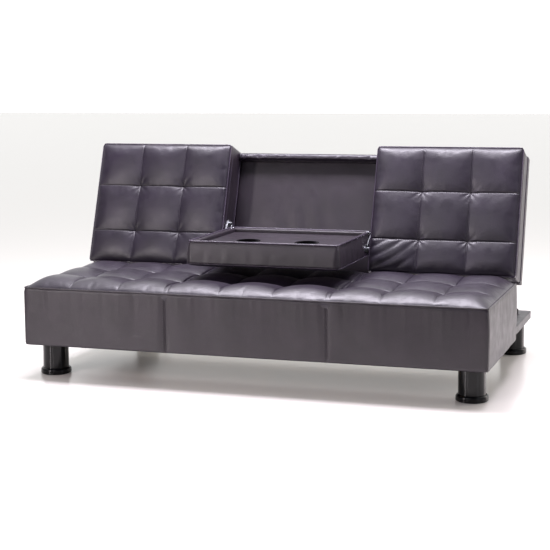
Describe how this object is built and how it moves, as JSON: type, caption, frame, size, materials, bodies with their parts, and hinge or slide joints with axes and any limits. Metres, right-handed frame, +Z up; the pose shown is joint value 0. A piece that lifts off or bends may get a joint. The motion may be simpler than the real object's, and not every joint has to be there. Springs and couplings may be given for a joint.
{
  "type": "futon sofa bed",
  "caption": "Click-clack futon sofa bed in dark leatherette with a tufted seat, a reclining back and a middle tray with cup holders that folds down over the seat.",
  "frame": {"origin": "centre of the footprint, on the floor", "axes": "+X along the sofa's length, to the right as seen from the front; +Y from the front to the back; +Z up"},
  "size_m": [1.8, 1.1, 0.8678],
  "materials": {
    "leatherette": "satin",
    "covered_foam": "satin",
    "timber": "matte",
    "black_steel": "gloss",
    "black_plastic": "gloss",
    "felt": "matte",
    "rubber": "matte",
    "zinc_steel": "satin"
  },
  "bodies": {
    "base": {"side_rail_left": "leatherette", "side_rail_right": "leatherette", "front_cross_beam": "timber", "middle_cross_beam": "timber", "rear_cross_beam": "timber", "leg_front_left": "black_steel", "leg_front_right": "black_steel", "leg_rear_left": "black_steel", "leg_rear_right": "black_steel", "leg_feet": "black_plastic", "leg_glides": "felt", "leg_bolts": "zinc_steel", "recline_bracket_left": "zinc_steel", "recline_bracket_right": "zinc_steel", "bracket_screws": "zinc_steel", "recline_pins": "zinc_steel", "rest_buffers": "rubber"},
    "seat": {"seat_front_board": "timber", "seat_rear_board": "timber", "seat_side_boards": "timber", "seat_centre_boards": "timber", "seat_outriggers": "timber", "seat_springs": "zinc_steel", "seat_deck": "felt", "seat_dust_cover": "felt", "seat_cushion_left": "covered_foam", "seat_cushion_middle": "covered_foam", "seat_cushion_right": "covered_foam", "front_apron": "leatherette", "seat_side_panel_left": "leatherette", "seat_side_panel_right": "leatherette", "seat_arm_left": "zinc_steel", "seat_arm_right": "zinc_steel", "seat_arm_screws": "zinc_steel"},
    "backrest": {"back_cushion_left": "covered_foam", "back_cushion_right": "covered_foam", "recess_side_left": "timber", "recess_side_right": "timber", "backing_panels": "timber", "back_cross_boards": "timber", "back_side_boards": "timber", "recess_wall": "leatherette", "recess_top_roll": "covered_foam", "rear_cover": "leatherette", "back_arm_left": "zinc_steel", "back_arm_right": "zinc_steel", "back_arm_screws": "zinc_steel", "tray_pivot_plate_left": "zinc_steel", "tray_pivot_plate_right": "zinc_steel", "tray_pivot_pins": "zinc_steel"},
    "tray": {"tray_cushion": "covered_foam", "tray_floor": "timber", "tray_end_boards": "timber", "tray_side_boards": "timber", "tray_top_panel": "leatherette", "cup_holder_left": "black_plastic", "cup_holder_right": "black_plastic", "tray_arm_left": "zinc_steel", "tray_arm_right": "zinc_steel", "tray_arm_screws": "zinc_steel"}
  },
  "joints": [
    {"name": "seat_lift", "type": "hinge", "parent": "base", "child": "seat", "pos_m": [0, 0.03979, 0.33507], "axis": [-1, 0, 0], "range_deg": [0, 6]},
    {"name": "back_recline", "type": "hinge", "parent": "base", "child": "backrest", "pos_m": [0, 0.03979, 0.33507], "axis": [-1, 0, 0], "range_deg": [0, 71]},
    {"name": "tray_fold", "type": "hinge", "parent": "backrest", "child": "tray", "pos_m": [0, 0.074, 0.461], "axis": [-1, 0, 0], "range_deg": [0, 109]}
  ]
}
